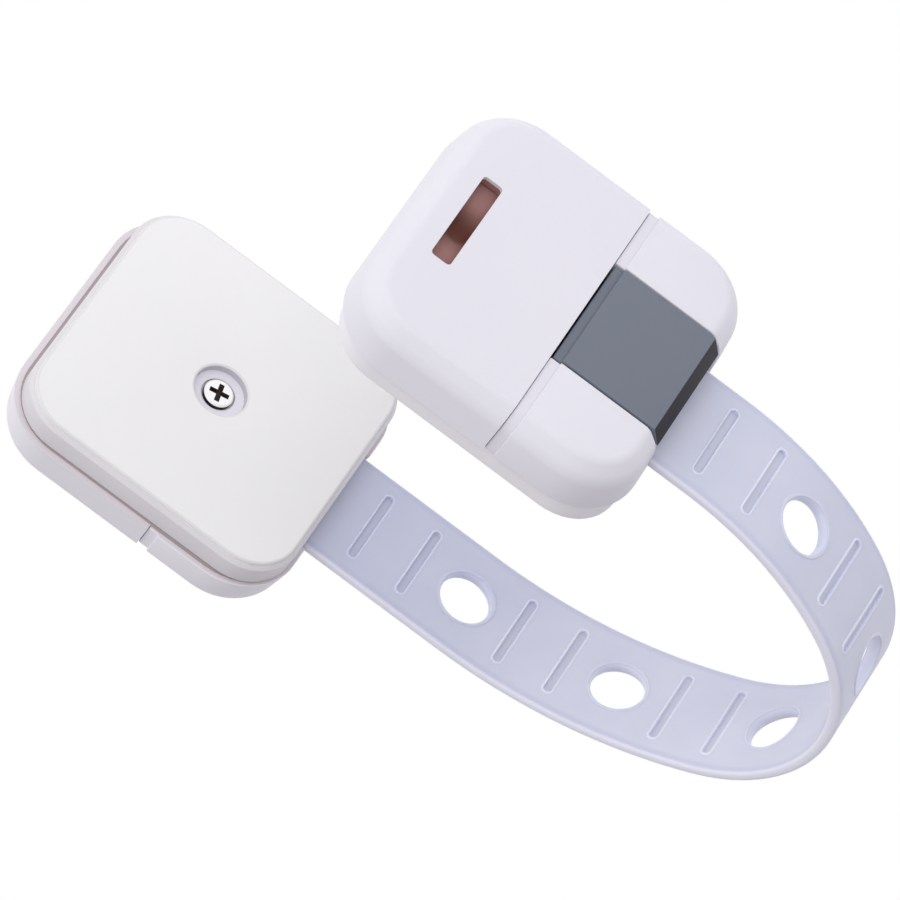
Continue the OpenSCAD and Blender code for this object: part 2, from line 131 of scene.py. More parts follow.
floor_mesh = bpy.data.meshes.new("floor")
bm = bmesh.new()
bmesh.ops.create_grid(bm, x_segments=1, y_segments=1, size=floor_half,
                      matrix=Matrix.Translation((0, 0, -floor_drop)))
bm.to_mesh(floor_mesh)
bm.free()
floor = bpy.data.objects.new("floor", floor_mesh)
scene.collection.objects.link(floor)
floor_look = bpy.data.materials.new("floor")
floor_look.use_nodes = True
nodes = floor_look.node_tree.nodes
links = floor_look.node_tree.links
paper = nodes["Principled BSDF"]
paper.inputs["Base Color"].default_value = paper_white
paper.inputs["Roughness"].default_value = 0.9
paper.inputs["Emission Color"].default_value = white
paper.inputs["Emission Strength"].default_value = 0.3
paper_glow = nodes.new("ShaderNodeEmission")
paper_glow.inputs["Strength"].default_value = 1.0
seen = nodes.new("ShaderNodeLightPath")
choice = nodes.new("ShaderNodeMixShader")
links.new(seen.outputs["Is Camera Ray"], choice.inputs["Fac"])
links.new(paper.outputs["BSDF"], choice.inputs[1])
links.new(paper_glow.outputs["Emission"], choice.inputs[2])
links.new(choice.outputs["Shader"], nodes["Material Output"].inputs["Surface"])
floor_mesh.materials.append(floor_look)

# Places of the two blocks: each is drawn in millimetres in its own frame, with x towards the strap's
# mouth, y across and z from the adhesive face to the front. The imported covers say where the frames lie.
mm = 0.001
half = 23.1
front_z = 12.4
cover_low, cover_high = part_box("lower_front_cover")
cover_middle = (cover_low.z + cover_high.z) / 2
lower_spot = Vector((cover_low.x + half * mm, cover_low.y + front_z * mm, cover_middle))
cover_low, cover_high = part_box("upper_front_cover")
cover_middle = (cover_low.z + cover_high.z) / 2
upper_spot = Vector((cover_low.x + half * mm, cover_high.y - front_z * mm, cover_middle))
places = {
    "lower": Matrix.Translation(lower_spot) @ Matrix.Rotation(pi / 2, 4, "X") @ Matrix.Scale(mm, 4),
    "upper": Matrix.Translation(upper_spot) @ Matrix.Rotation(-pi / 2, 4, "X") @ Matrix.Scale(mm, 4),
}

# Adhesive pads: white closed-cell foam with an acrylic adhesive, die cut to a rounded square with
# a round window for the screw, and stuck to the back of each base plate.
pad_half = 21.5
pad_corner = 7.4
pad_thickness = 0.6
pad_brim = 0.38
base_shift = 0.3
screw_shift = 0.8
window_r = 3.9
round_steps = 48
hair = 0.001


def plastic(name, colour, roughness, grain, mottle, drift=(0, 0, 0), shine=0.4):
    """Moulded plastic: cloudy tone that drifts in hue, and a fine grain that breaks the gloss."""
    cloud_scale = 45
    grain_scale = 2600
    grain_depth = 0.00005
    gloss_spread = 0.06
    look = bpy.data.materials.new(name)
    look.use_nodes = True
    nodes = look.node_tree.nodes
    links = look.node_tree.links
    shader = nodes["Principled BSDF"]
    where = nodes.new("ShaderNodeTexCoord")
    clouds = nodes.new("ShaderNodeTexNoise")
    clouds.inputs["Scale"].default_value = cloud_scale
    clouds.inputs["Detail"].default_value = 3
    links.new(where.outputs["Object"], clouds.inputs["Vector"])
    tone = nodes.new("ShaderNodeMix")
    tone.data_type = "RGBA"
    tone.inputs["A"].default_value = (*[c * (1 - mottle) - d for c, d in zip(colour, drift)], 1)
    tone.inputs["B"].default_value = (*[c * (1 + mottle) + d for c, d in zip(colour, drift)], 1)
    links.new(clouds.outputs["Fac"], tone.inputs["Factor"])
    links.new(tone.outputs["Result"], shader.inputs["Base Color"])
    speckle = nodes.new("ShaderNodeTexNoise")
    speckle.inputs["Scale"].default_value = grain_scale
    speckle.inputs["Detail"].default_value = 2
    links.new(where.outputs["Object"], speckle.inputs["Vector"])
    gloss = nodes.new("ShaderNodeMapRange")
    gloss.inputs["To Min"].default_value = roughness - gloss_spread
    gloss.inputs["To Max"].default_value = roughness + gloss_spread
    links.new(speckle.outputs["Fac"], gloss.inputs["Value"])
    links.new(gloss.outputs["Result"], shader.inputs["Roughness"])
    bump = nodes.new("ShaderNodeBump")
    bump.inputs["Strength"].default_value = grain
    bump.inputs["Distance"].default_value = grain_depth
    links.new(speckle.outputs["Fac"], bump.inputs["Height"])
    links.new(bump.outputs["Normal"], shader.inputs["Normal"])
    shader.inputs["Specular IOR Level"].default_value = shine
    return look


def piece(name, bm, place, looks, sharp=35, merge=0.002):
    """Turns a finished bmesh into an object whose place is in its mesh."""
    bmesh.ops.remove_doubles(bm, verts=bm.verts[:], dist=merge)
    bmesh.ops.recalc_face_normals(bm, faces=bm.faces[:])
    if bm.calc_volume(signed=True) < 0:
        bmesh.ops.reverse_faces(bm, faces=bm.faces[:])
    mesh = bpy.data.meshes.new(name)
    bm.to_mesh(mesh)
    bm.free()
    mesh.transform(place)
    mesh.shade_smooth()
    mesh.set_sharp_from_angle(angle=radians(sharp))
    for look in looks:
        mesh.materials.append(look)
    made = bpy.data.objects.new(name, mesh)
    scene.collection.objects.link(made)
    return made


def rounded_square(size, radius, z, segments=11):
    """A new bmesh with one flat face: a rounded square whose corners have segments + 1 points."""
    bm = bmesh.new()
    bmesh.ops.create_grid(bm, x_segments=1, y_segments=1, size=size, matrix=Matrix.Translation((0, 0, z)))
    bmesh.ops.bevel(bm, geom=bm.verts[:], offset=radius, offset_type="OFFSET", segments=segments,
                    profile=0.5, affect="VERTICES", clamp_overlap=True)
    return bm


def moved_verts(made):
    """The new vertices of an extrusion."""
    return [v for v in made["geom"] if isinstance(v, bmesh.types.BMVert)]


def moved_edges(made):
    """The new edges of an extrusion."""
    return [e for e in made["geom"] if isinstance(e, bmesh.types.BMEdge)]


def window(bm, z):
    """Adds the circle of the screw's window at a height, and returns its edges."""
    ring = bmesh.ops.create_circle(bm, segments=round_steps, radius=window_r,
                                   matrix=Matrix.Translation((screw_shift, 0, z)))
    return list({e for v in ring["verts"] for e in v.link_edges})


def from_screw(point):
    """Distance of a point from the screw's axis."""
    return (point.xy - Vector((screw_shift, 0))).length


def soften(bm, width, segments=2, angle=40):
    """Breaks every sharp edge with a small round."""
    sharp = [e for e in bm.edges if len(e.link_faces) == 2 and e.calc_face_angle() > radians(angle)]
    bmesh.ops.bevel(bm, geom=sharp, offset=width, offset_type="OFFSET", segments=segments, profile=0.5,
                    affect="EDGES", material=-1, clamp_overlap=True)


foam = plastic("adhesive_foam", (0.83, 0.825, 0.83), roughness=0.7, grain=0.3, mottle=0.012,
               drift=(0.006, 0.0, -0.006))
# The pad's rounded brim is painted darker than the foam: painted shade on the rounded edge.
foam_brim_shade = plastic("adhesive_foam_brim_shade", (0.74, 0.735, 0.745), roughness=0.8, grain=0.3, mottle=0.012)
# The walls of the screw's window in pads and plates are painted darker: painted shade in the recess.
well_wall_shade = plastic("well_wall_shade", (0.54, 0.53, 0.58), roughness=0.6, grain=0.2, mottle=0.03)
for side in places:
    bm = rounded_square(pad_half, pad_corner, 0)
    bmesh.ops.translate(bm, verts=bm.verts[:], vec=(base_shift, 0, 0))
    outer = bm.edges[:]
    bmesh.ops.delete(bm, geom=bm.faces[:], context="FACES_ONLY")
    inner = window(bm, 0)
    bmesh.ops.triangle_fill(bm, use_beauty=True, edges=outer + inner)
    foam_top = bmesh.ops.extrude_face_region(bm, geom=bm.faces[:])
    bmesh.ops.translate(bm, verts=moved_verts(foam_top), vec=(0, 0, pad_thickness))
    bmesh.ops.recalc_face_normals(bm, faces=bm.faces[:])
    brim = []
    for e in bm.edges:
        if max(v.co.z for v in e.verts) < hair and e.calc_face_angle() > radians(60):
            brim.append(e)
    looks = [foam, foam_brim_shade, well_wall_shade]
    bmesh.ops.bevel(bm, geom=brim, offset=pad_brim, segments=5, profile=0.5, affect="EDGES",
                    material=looks.index(foam_brim_shade))
    for f in bm.faces:
        if abs(f.normal.z) < 0.5 and from_screw(f.calc_center_median()) < window_r + pad_brim:
            f.material_index = looks.index(well_wall_shade)
    pad = piece(side + "_pad", bm, places[side], looks)
    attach(pad, side + "_lock")
    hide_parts(side + "_adhesive_pad")

# Base plates: white moulded dishes under the blocks, with a deep straight side, a ledge that carries
# the shells and a round recess for the clamp screw. The wall of the dish is open at the strap's mouth.
plate_half = 22.1
plate_corner = 8
plate_edge = 0.45
plate_z = 4.2
rim_z = 4.7
seat_z = 2.7
gap_step = 0.03
ledge = (21.8, 8.7)
flange = (22.35, 9.25)
dish = (21.3, 8.2)
recess_z = 1.25
head_seat_r = 2.5
head_seat_depth = 0.4
mouth_half = 9.7
sill_x = 15
sill_slope = 0.4
sill_drop = 0.33
plate_soft = 0.12
# Both plates are one plastic painted in two whites: the upper one lighter, painted light against the shade
# under its shell's overhang, and the lower one darker, painted shade.
plate_whites_painted_light = {"lower": (0.70, 0.68, 0.71), "upper": (0.84, 0.82, 0.87)}
# The plate's faces above its top (ledge, flange and dish) are painted dark mauve: painted shade in the gap
# between plate and shell.
ledge_shade = plastic("plate_ledge_shade", (0.36, 0.30, 0.315), roughness=0.55, grain=0.2, mottle=0.03)
# The recess floor is painted a lighter lilac than the plate: painted light against the shade in the recess.
well_floor_painted_light = plastic("plate_well_painted_light", (0.80, 0.785, 0.86), roughness=0.4, grain=0.2, mottle=0.02)


def add(target, bm):
    """Adds a finished bmesh to another one as a separate island."""
    bmesh.ops.recalc_face_normals(bm, faces=bm.faces[:])
    spare = bpy.data.meshes.new("spare")
    bm.to_mesh(spare)
    bm.free()
    target.from_mesh(spare)
    bpy.data.meshes.remove(spare)


def stack(rings):
    """A new bmesh with a skin through rounded-square rings of (half size, radius, height, shift)."""
    bm = bmesh.new()
    last = []
    for size, radius, z, shift in rings:
        ring = rounded_square(size, radius, z)
        bmesh.ops.delete(ring, geom=ring.faces[:], context="FACES_ONLY")
        bmesh.ops.translate(ring, verts=ring.verts[:], vec=(shift, 0, 0))
        add(bm, ring)
        new = [e for e in bm.edges if e.is_wire and e not in last]
        if last:
            bmesh.ops.bridge_loops(bm, edges=last + new)
        last = new
    return bm


for side in places:
    bm = stack([
        (plate_half - plate_edge, plate_corner - plate_edge, pad_thickness, base_shift),
        (plate_half, plate_corner, pad_thickness + plate_edge, base_shift),
        (plate_half, plate_corner, plate_z, base_shift),
        (*ledge, plate_z + gap_step, 0),
        (*flange, rim_z - gap_step, 0),
        (*dish, rim_z, 0),
        (*dish, seat_z, 0),
    ])
    floor_rim = [e for e in bm.edges if e.is_boundary and e.verts[0].co.z > seat_z - hair]
    bmesh.ops.edgeloop_fill(bm, edges=floor_rim)
    outer = [e for e in bm.edges if e.is_boundary]
    inner = window(bm, pad_thickness)
    bmesh.ops.triangle_fill(bm, use_beauty=True, edges=outer + inner)
    well_steps = (
        (window_r, recess_z - pad_thickness),
        (head_seat_r, 0),
        (head_seat_r, head_seat_depth),
    )
    for radius, depth in well_steps:
        well = bmesh.ops.extrude_edge_only(bm, edges=inner)
        moved = moved_verts(well)
        inner = moved_edges(well)
        share = radius / from_screw(moved[0].co)
        bmesh.ops.scale(bm, verts=moved, vec=(share, share, 1),
                        space=Matrix.Translation((-screw_shift, 0, 0)))
        bmesh.ops.translate(bm, verts=moved, vec=(0, 0, depth))
    bmesh.ops.edgeloop_fill(bm, edges=inner)
    for y in (-mouth_half, sill_slope - mouth_half, mouth_half - sill_slope, mouth_half):
        bmesh.ops.bisect_plane(bm, geom=bm.verts[:] + bm.edges[:] + bm.faces[:], dist=0.0001,
                               plane_co=(0, y, 0), plane_no=(0, 1, 0))
    sill = []
    for v in bm.verts:
        in_mouth = v.co.x > sill_x and abs(v.co.y) < mouth_half - sill_slope + hair
        if in_mouth and v.co.z > rim_z - 2 * gap_step:
            sill.append(v)
    bmesh.ops.translate(bm, verts=sill, vec=(0, 0, -sill_drop))
    plate_white_painted_light = plastic(side + "_plate_plastic_painted_light", plate_whites_painted_light[side], roughness=0.45, grain=0.2,
                          mottle=0.012)
    looks = [plate_white_painted_light, ledge_shade, well_floor_painted_light, well_wall_shade]
    for f in bm.faces:
        c = f.calc_center_median()
        if c.z > plate_z:
            f.material_index = looks.index(ledge_shade)
        elif from_screw(c) < window_r and pad_thickness + hair < c.z < recess_z + hair:
            f.material_index = looks.index(well_floor_painted_light if abs(f.normal.z) > 0.5 else well_wall_shade)
    soften(bm, plate_soft)
    plate = piece(side + "_plate", bm, places[side], looks)
    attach(plate, side + "_lock")
    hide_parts(side + "_base_plate")

# Clamp screws and nuts: bright zinc plated pan-head screws with a cross recess hold each base plate to
# its housing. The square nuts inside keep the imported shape.
head_r = 2.2
head_z = 0.75
crown_rise = 0.2
crown_round = 0.15
cross_half = 0.38
cross_reach = 1.48
cross_depth = 0.6
cross_taper = 0.72
cross_turn = radians(12)


def rise(bm, inset, height):
    """Raises the top face by height while drawing it in by inset, and returns its edges."""
    top = max(bm.faces, key=lambda f: f.calc_center_median().z)
    bmesh.ops.inset_region(bm, faces=[top], thickness=inset, depth=height, use_even_offset=True,
                           use_boundary=True)
    return list(top.edges)


def split(bm, faces, point, normal):
    """Cuts the given faces along a plane and keeps both sides."""
    corners = {v for f in faces for v in f.verts}
    edges = {e for f in faces for e in f.edges}
    bmesh.ops.bisect_plane(bm, geom=[*faces, *edges, *corners], dist=0.0001, plane_co=point,
                           plane_no=normal)


def metal(name, metallic, scale, detail, gloss, dull, bright):
    """Metal whose colour and gloss vary in a fine pattern."""
    look = bpy.data.materials.new(name)
    look.use_nodes = True
    nodes = look.node_tree.nodes
    links = look.node_tree.links
    shader = nodes["Principled BSDF"]
    shader.inputs["Metallic"].default_value = metallic
    where = nodes.new("ShaderNodeTexCoord")
    pattern = nodes.new("ShaderNodeTexNoise")
    pattern.inputs["Scale"].default_value = scale
    pattern.inputs["Detail"].default_value = detail
    links.new(where.outputs["Object"], pattern.inputs["Vector"])
    tone = nodes.new("ShaderNodeMix")
    tone.data_type = "RGBA"
    tone.inputs["A"].default_value = (*dull, 1)
    tone.inputs["B"].default_value = (*bright, 1)
    links.new(pattern.outputs["Fac"], tone.inputs["Factor"])
    links.new(tone.outputs["Result"], shader.inputs["Base Color"])
    sheen = nodes.new("ShaderNodeMapRange")
    sheen.inputs["To Min"].default_value = gloss[0]
    sheen.inputs["To Max"].default_value = gloss[1]
    links.new(pattern.outputs["Fac"], sheen.inputs["Value"])
    links.new(sheen.outputs["Result"], shader.inputs["Roughness"])
    return look


steel = metal("zinc_steel", metallic=0.1, scale=1800, detail=2, gloss=(0.25, 0.42),
              dull=(0.93, 0.92, 0.92), bright=(0.99, 0.99, 0.99))
recess_dark = plastic("recess_shadow", (0.035, 0.026, 0.022), roughness=0.5, grain=0.2, mottle=0.3,
                      shine=0.15)
for side in places:
    bm = bmesh.new()
    bmesh.ops.create_circle(bm, cap_ends=True, segments=round_steps, radius=head_r,
                            matrix=Matrix.Translation((0, 0, -recess_z - head_seat_depth)))
    rise(bm, 0, recess_z + head_seat_depth - head_z - crown_rise)
    crown = rise(bm, crown_rise, crown_rise)
    bmesh.ops.bevel(bm, geom=crown, offset=crown_round, segments=3, profile=0.5, affect="EDGES",
                    material=-1)
    for axis in (Vector((1, 0, 0)), Vector((0, 1, 0))):
        for offset in (-cross_reach, -cross_half, cross_half, cross_reach):
            top = [f for f in bm.faces if f.calc_center_median().z > -head_z - hair]
            split(bm, top, axis * offset, axis)
    cross = []
    for f in bm.faces:
        c = f.calc_center_median()
        in_cross = min(abs(c.x), abs(c.y)) < cross_half and max(abs(c.x), abs(c.y)) < cross_reach
        if in_cross and c.z > -head_z - hair:
            cross.append(f)
    sunk = bmesh.ops.extrude_face_region(bm, geom=cross)
    bmesh.ops.delete(bm, geom=cross, context="FACES_ONLY")
    bmesh.ops.delete(bm, geom=[e for e in bm.edges if e.is_wire], context="EDGES")
    bmesh.ops.translate(bm, verts=moved_verts(sunk), vec=(0, 0, -cross_depth))
    bmesh.ops.scale(bm, verts=moved_verts(sunk), vec=(cross_taper, cross_taper, 1))
    looks = [steel, recess_dark]
    for f in bm.faces:
        c = f.calc_center_median()
        if c.z < -head_z - hair and (c.xy.length < cross_reach or abs(f.normal.z) < 0.1):
            f.material_index = looks.index(recess_dark)
    bmesh.ops.edgeloop_fill(bm, edges=[e for e in bm.edges if e.is_boundary])
    turn = Matrix.Rotation(pi, 4, "X") @ Matrix.Rotation(cross_turn, 4, "Z")
    bmesh.ops.transform(bm, matrix=Matrix.Translation((screw_shift, 0, 0)) @ turn, verts=bm.verts[:])
    screw = piece(side + "_screw", bm, places[side], looks)
    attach(screw, side + "_lock")
    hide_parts(side + "_base_screw")
    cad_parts[side + "_clamp_nut"].material_slots[0].material = steel

# Strap housings: white moulded shoulders on both sides of the release button, with a lowered strip
# along the parting line, on a tray that the strap slides over. Rails and two bosses stand on the tray.
shell_corner = 10
side_inset = 0.7
crease_z = 10.1
crease_sink = 0.41
crease_round = 1.1
bevel_width = 2.3
front_round = 0.7
shell_soft = 0.2
seam_x = 3.9
seam_gap = 0.04
strip_x = 5.5
strip_lap = 0.2
strip_depth = 0.55
step_depth = 0.38
floor_z = 4.45
tray = (21.2, 8.1)
rail_start = -18.2
rail_sides = (9.35, 10.55)
rail_height = 2.3
rail_soft = 0.15
boss = (-13.86, 14.9)
boss_r = 2.7
boss_height = 2.9
root = 0.1
# Both shells are one plastic painted in two whites: the lower one lighter, painted light on its side that
# turns away from the light.
shell_tones_painted_light = {"lower": (0.80, 0.785, 0.845), "upper": (0.745, 0.735, 0.80)}
shell_drift = (0.002, 0.0, -0.002)
# The shells' downward rim faces are painted mauve: painted shade in the gap above the base plate.
rim_shade = plastic("shell_rim_shade", (0.72, 0.675, 0.71), roughness=0.5, grain=0.2, mottle=0.03)
shell_whites_painted_light = {}
for side in places:
    shell_whites_painted_light[side] = plastic(side + "_shell_plastic_painted_light", shell_tones_painted_light[side], roughness=0.42, grain=0.2,
                                 mottle=0.012, drift=shell_drift)


def shell_skin(inset):
    """Open skin of a whole block, drawn in by inset."""
    bm = rounded_square(half - inset, shell_corner - inset, rim_z, 15)
    crease_height = crease_z - crease_sink * inset
    crease = rise(bm, side_inset, crease_height - rim_z)
    rise(bm, bevel_width - (1 - crease_sink) * inset, front_z - inset - crease_height)
    bmesh.ops.bevel(bm, geom=crease, offset=crease_round, segments=6, profile=0.5, affect="EDGES",
                    material=-1)
    top = max(bm.faces, key=lambda f: f.calc_center_median().z)
    bmesh.ops.bevel(bm, geom=list(top.edges), offset=front_round, segments=5, profile=0.5, affect="EDGES",
                    material=-1)
    return bm


def is_rim(face):
    """Whether a face lies on the lower rim of a shell and looks down."""
    return face.normal.z < -0.9 and abs(face.calc_center_median().z - rim_z) < 0.25


def cut(bm, point, normal):
    """Cuts away what lies beyond a plane and closes the cut."""
    made = bmesh.ops.bisect_plane(bm, geom=bm.verts[:] + bm.edges[:] + bm.faces[:], dist=0.0001,
                                  plane_co=point, plane_no=normal, clear_outer=True)
    rim = [e for e in made["geom_cut"] if isinstance(e, bmesh.types.BMEdge)]
    bmesh.ops.edgeloop_fill(bm, edges=rim)


def block(x0, x1, y0, y1, z0, z1):
    """A new bmesh holding one box."""
    bm = bmesh.new()
    size = Matrix.Diagonal((x1 - x0, y1 - y0, z1 - z0, 1))
    middle = Matrix.Translation(((x0 + x1) / 2, (y0 + y1) / 2, (z0 + z1) / 2))
    bmesh.ops.create_cube(bm, size=1, matrix=middle @ size)
    return bm


def post(x, y, z0, z1, radius):
    """A new bmesh holding one upright round post with softened ends."""
    bm = bmesh.new()
    bmesh.ops.create_cone(bm, cap_ends=True, segments=32, radius1=radius, radius2=radius, depth=z1 - z0,
                          matrix=Matrix.Translation((x, y, (z0 + z1) / 2)))
    soften(bm, radius / 10)
    return bm


for side in places:
    bm = rounded_square(*tray, seat_z)
    bmesh.ops.solidify(bm, geom=bm.faces[:], thickness=-(floor_z - seat_z))
    soften(bm, shell_soft)
    shoulder_runs = ((0, strip_x, half + 1), (step_depth, seam_x + seam_gap, strip_x + strip_lap))
    for inset, x_from, x_to in shoulder_runs:
        shoulder = shell_skin(inset)
        bmesh.ops.edgeloop_fill(shoulder, edges=[e for e in shoulder.edges if e.is_boundary])
        cut(shoulder, (x_from, 0, 0), (-1, 0, 0))
        if x_to < half:
            cut(shoulder, (x_to, 0, 0), (1, 0, 0))
        cut(shoulder, (0, mouth_half, 0), (0, -1, 0))
        soften(shoulder, shell_soft, 3)
        bmesh.ops.mirror(shoulder, geom=shoulder.verts[:] + shoulder.edges[:] + shoulder.faces[:], axis="Y",
                         merge_dist=0.0001)
        add(bm, shoulder)
    for sign in (-1, 1):
        rail = block(rail_start, seam_x, *rail_sides, floor_z - root, floor_z + rail_height)
        soften(rail, rail_soft)
        bmesh.ops.transform(rail, matrix=Matrix.Diagonal((1, sign, 1, 1)), verts=rail.verts[:])
        add(bm, rail)
        add(bm, post(boss[0], sign * boss[1], floor_z - root, floor_z + boss_height, boss_r))
    looks = [shell_whites_painted_light[side], rim_shade]
    for f in bm.faces:
        if is_rim(f):
            f.material_index = looks.index(rim_shade)
    housing = piece(side + "_housing", bm, places[side], looks)
    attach(housing, side + "_lock")
    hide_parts(side + "_strap_housing")

# Front covers: white moulded shells over the blocks' plain ends. A slot through the front shows a
# pocket behind it with a round dimple in the middle, painted brown as shade and darker in a painted
# shade towards the middle. Two posts inside locate the cover.
slot_x = -15.35
slot_half = (1.55, 8.0)
slot_corner = 0.6
shell_wall = 1.6
cover_soft = 0.14
# Height below which the slot's walls carry the slot's painted shade.
slot_shade_top = 11.8
pocket_half = (3.4, 8.3)
pocket_corner = 1
pocket_z = 10.5
pocket_lap = 0.05
pocket_round = 0.6
pocket_wall = 0.5
dimple_r = 2.9
dimple_depth = 0.9
dimple_taper = 0.5
post_ends = (7.45, 11.4)
post_r = 1.5
# Brown painted shade for the slot's pocket and lower walls, darkening to a deeper painted shade at the
# middle.
pocket_shade_brown = (0.355, 0.182, 0.168)
shade_brown = (0.135, 0.032, 0.014)
shade_fade = (0.0003, 0.0052)


def smooth_step(tree, value, low, high, start, end):
    """Socket that goes smoothly from start to end while a value goes from low to high."""
    step = tree.nodes.new("ShaderNodeMapRange")
    step.interpolation_type = "SMOOTHSTEP"
    step.inputs["From Min"].default_value = low
    step.inputs["From Max"].default_value = high
    step.inputs["To Min"].default_value = start
    step.inputs["To Max"].default_value = end
    tree.links.new(value, step.inputs["Value"])
    return step.outputs["Result"]


def off_middle(tree, value, middle):
    """Socket with the distance of a value from a middle."""
    gap = tree.nodes.new("ShaderNodeMath")
    gap.operation = "SUBTRACT"
    gap.inputs[1].default_value = middle
    tree.links.new(value, gap.inputs[0])
    reach = tree.nodes.new("ShaderNodeMath")
    reach.operation = "ABSOLUTE"
    tree.links.new(gap.outputs["Value"], reach.inputs[0])
    return reach.outputs["Value"]


def laid_over(tree, share, under, colour):
    """Socket with a colour laid over the one under it by a share."""
    mix = tree.nodes.new("ShaderNodeMix")
    mix.data_type = "RGBA"
    mix.inputs["B"].default_value = (*colour, 1)
    tree.links.new(share, mix.inputs["Factor"])
    tree.links.new(under, mix.inputs["A"])
    return mix.outputs["Result"]


def in_slot(point, margin=0.1):
    """Whether a point lies within the slot's outline."""
    return abs(point.x - slot_x) < slot_half[0] + margin and abs(point.y) < slot_half[1] + margin


# The slot's lower walls and the pocket get a brown painted shade, darker still towards the slot's middle.
slot_shade = plastic("slot_shade", pocket_shade_brown, roughness=0.6, grain=0.2, mottle=0.08)
tree = slot_shade.node_tree
axes = tree.nodes.new("ShaderNodeSeparateXYZ")
tree.links.new(tree.nodes["Texture Coordinate"].outputs["Object"], axes.inputs["Vector"])
shade = smooth_step(tree, off_middle(tree, axes.outputs["Z"], lower_spot.z), *shade_fade, 1, 0)
slot_shade_tone = laid_over(tree, shade, tree.nodes["Mix"].outputs["Result"], shade_brown)
tree.links.new(slot_shade_tone, tree.nodes["Principled BSDF"].inputs["Base Color"])
for side in places:
    bm = shell_skin(0)
    for axis in (0, 1):
        for sign in (-1, 1):
            point = Vector((slot_x, 0, 0))
            point[axis] += sign * slot_half[axis]
            normal = Vector((1 - axis, axis, 0))
            top = [f for f in bm.faces if f.calc_center_median().z > front_z - hair]
            if axis == 1:
                top = [f for f in top if abs(f.calc_center_median().x - slot_x) < slot_half[0]]
            split(bm, top, point, normal)
    for f in bm.faces[:]:
        c = f.calc_center_median()
        if in_slot(c, 0) and c.z > front_z - hair:
            bmesh.ops.delete(bm, geom=[f], context="FACES_ONLY")
    bmesh.ops.bisect_plane(bm, geom=bm.verts[:] + bm.edges[:] + bm.faces[:], dist=0.0001,
                           plane_co=(seam_x - seam_gap, 0, 0), plane_no=(1, 0, 0), clear_outer=True)
    bmesh.ops.solidify(bm, geom=bm.faces[:], thickness=shell_wall)
    upright = []
    for e in bm.edges:
        a, b = e.verts
        if in_slot(a.co) and (a.co - b.co).xy.length < hair:
            upright.append(e)
    bmesh.ops.bevel(bm, geom=upright, offset=slot_corner, segments=4, profile=0.5, affect="EDGES",
                    material=-1)
    # The slot's walls are split at a height; below it they carry the slot's painted shade.
    slot_walls = [f for f in bm.faces if in_slot(f.calc_center_median()) and abs(f.normal.z) < 0.1]
    split(bm, slot_walls, (0, 0, slot_shade_top), (0, 0, 1))
    looks = [shell_whites_painted_light[side], slot_shade, rim_shade]
    for f in bm.faces:
        c = f.calc_center_median()
        if in_slot(c) and c.z < slot_shade_top:
            f.material_index = looks.index(slot_shade)
    soften(bm, cover_soft)
    pocket = bmesh.new()
    size = Matrix.Diagonal((*pocket_half, 1, 1))
    bmesh.ops.create_grid(pocket, x_segments=1, y_segments=1, size=1,
                          matrix=Matrix.Translation((slot_x, 0, pocket_z)) @ size)
    bmesh.ops.bevel(pocket, geom=pocket.verts[:], offset=pocket_corner, offset_type="OFFSET", segments=5,
                    profile=0.5, affect="VERTICES")
    outer = pocket.edges[:]
    bmesh.ops.delete(pocket, geom=pocket.faces[:], context="FACES_ONLY")
    walls = bmesh.ops.extrude_edge_only(pocket, edges=outer)
    wall_height = front_z - shell_wall - pocket_z + pocket_lap
    bmesh.ops.translate(pocket, verts=moved_verts(walls), vec=(0, 0, wall_height))
    ring = bmesh.ops.create_circle(pocket, segments=40, radius=dimple_r,
                                   matrix=Matrix.Translation((slot_x, 0, pocket_z)))
    inner = list({e for v in ring["verts"] for e in v.link_edges})
    bmesh.ops.triangle_fill(pocket, use_beauty=True, edges=outer + inner)
    deep = bmesh.ops.extrude_edge_only(pocket, edges=inner)
    bmesh.ops.translate(pocket, verts=moved_verts(deep), vec=(0, 0, -dimple_depth))
    bmesh.ops.scale(pocket, verts=moved_verts(deep), vec=(dimple_taper, dimple_taper, 1),
                    space=Matrix.Translation((-slot_x, 0, 0)))
    bmesh.ops.edgeloop_fill(pocket, edges=moved_edges(deep))
    soften(pocket, pocket_round, 5, 20)
    bmesh.ops.recalc_face_normals(pocket, faces=pocket.faces[:])
    if min(pocket.faces, key=lambda f: f.calc_center_median().z).normal.z < 0:
        bmesh.ops.reverse_faces(pocket, faces=pocket.faces[:])
    bmesh.ops.solidify(pocket, geom=pocket.faces[:], thickness=pocket_wall)
    for f in pocket.faces:
        f.material_index = looks.index(slot_shade)
    add(bm, pocket)
    for sign in (-1, 1):
        add(bm, post(boss[0], sign * boss[1], *post_ends, post_r))
    bmesh.ops.recalc_face_normals(bm, faces=bm.faces[:])
    for f in bm.faces:
        if is_rim(f):
            f.material_index = looks.index(rim_shade)
    cover = piece(side + "_cover", bm, places[side], looks)
    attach(cover, side + "_lock")
    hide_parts(side + "_front_cover")

